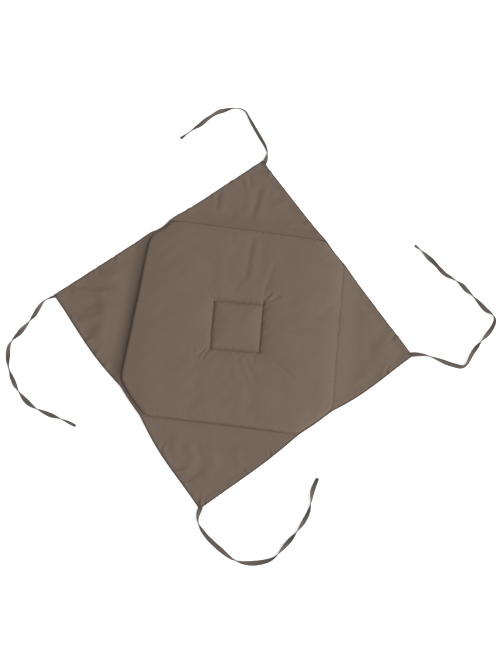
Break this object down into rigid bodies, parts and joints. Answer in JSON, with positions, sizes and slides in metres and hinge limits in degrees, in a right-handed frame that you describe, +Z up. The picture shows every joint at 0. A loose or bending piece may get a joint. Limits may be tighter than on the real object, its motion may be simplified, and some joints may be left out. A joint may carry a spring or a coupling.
{
  "type": "chair seat pad",
  "caption": "Square chair seat pad in plain taupe fabric: a filled octagonal pocket with a sewn square tuft, four corner flaps that hang over the seat, and a tie at each tip.",
  "frame": {"origin": "under the middle of the square cover, on the face that meets the seat", "axes": "+Z up from the seat; the cover's corners point along +X (right), +Y (back), -X (left) and -Y (front)"},
  "size_m": [0.8449, 0.8229, 0.024],
  "materials": {
    "cover_fabric": "matte, fine plain weave",
    "tie_fabric": "matte, fine plain weave, folded into a narrow band",
    "sewing_thread": "matte twisted polyester thread",
    "filling_wadding": "soft white fibre"
  },
  "bodies": {
    "pad": {"filling": "filling_wadding", "pocket_top_panel": "cover_fabric", "pocket_bottom_panel": "cover_fabric", "tuft_stitching": "sewing_thread", "fold_seam_right": "sewing_thread", "fold_seam_back": "sewing_thread", "fold_seam_left": "sewing_thread", "fold_seam_front": "sewing_thread", "pocket_edge_seams": "cover_fabric", "closing_seam": "cover_fabric"},
    "flap_right": {"flap_right_bottom_ply": "cover_fabric", "flap_right_top_ply": "cover_fabric", "flap_right_edge_seam": "cover_fabric", "tie_right": "tie_fabric", "tie_right_bartack": "sewing_thread"},
    "flap_back": {"flap_back_bottom_ply": "cover_fabric", "flap_back_top_ply": "cover_fabric", "flap_back_edge_seam": "cover_fabric", "tie_back": "tie_fabric", "tie_back_bartack": "sewing_thread"},
    "flap_left": {"flap_left_bottom_ply": "cover_fabric", "flap_left_top_ply": "cover_fabric", "flap_left_edge_seam": "cover_fabric", "tie_left": "tie_fabric", "tie_left_bartack": "sewing_thread"},
    "flap_front": {"flap_front_bottom_ply": "cover_fabric", "flap_front_top_ply": "cover_fabric", "flap_front_edge_seam": "cover_fabric", "tie_front": "tie_fabric", "tie_front_bartack": "sewing_thread"}
  },
  "joints": [
    {"name": "fold_right", "type": "hinge", "parent": "pad", "child": "flap_right", "pos_m": [0.1878, 0, 0.009], "axis": [-0.0593, 0.9982, 0], "range_deg": [-90, 90]},
    {"name": "fold_back", "type": "hinge", "parent": "pad", "child": "flap_back", "pos_m": [0, 0.177, 0.009], "axis": [-0.9994, -0.0349, 0], "range_deg": [-90, 90]},
    {"name": "fold_left", "type": "hinge", "parent": "pad", "child": "flap_left", "pos_m": [-0.1732, 0, 0.009], "axis": [0.0052, -1, 0], "range_deg": [-90, 90]},
    {"name": "fold_front", "type": "hinge", "parent": "pad", "child": "flap_front", "pos_m": [0, -0.1792, 0.009], "axis": [0.9988, 0.048, 0], "range_deg": [-90, 90]}
  ]
}
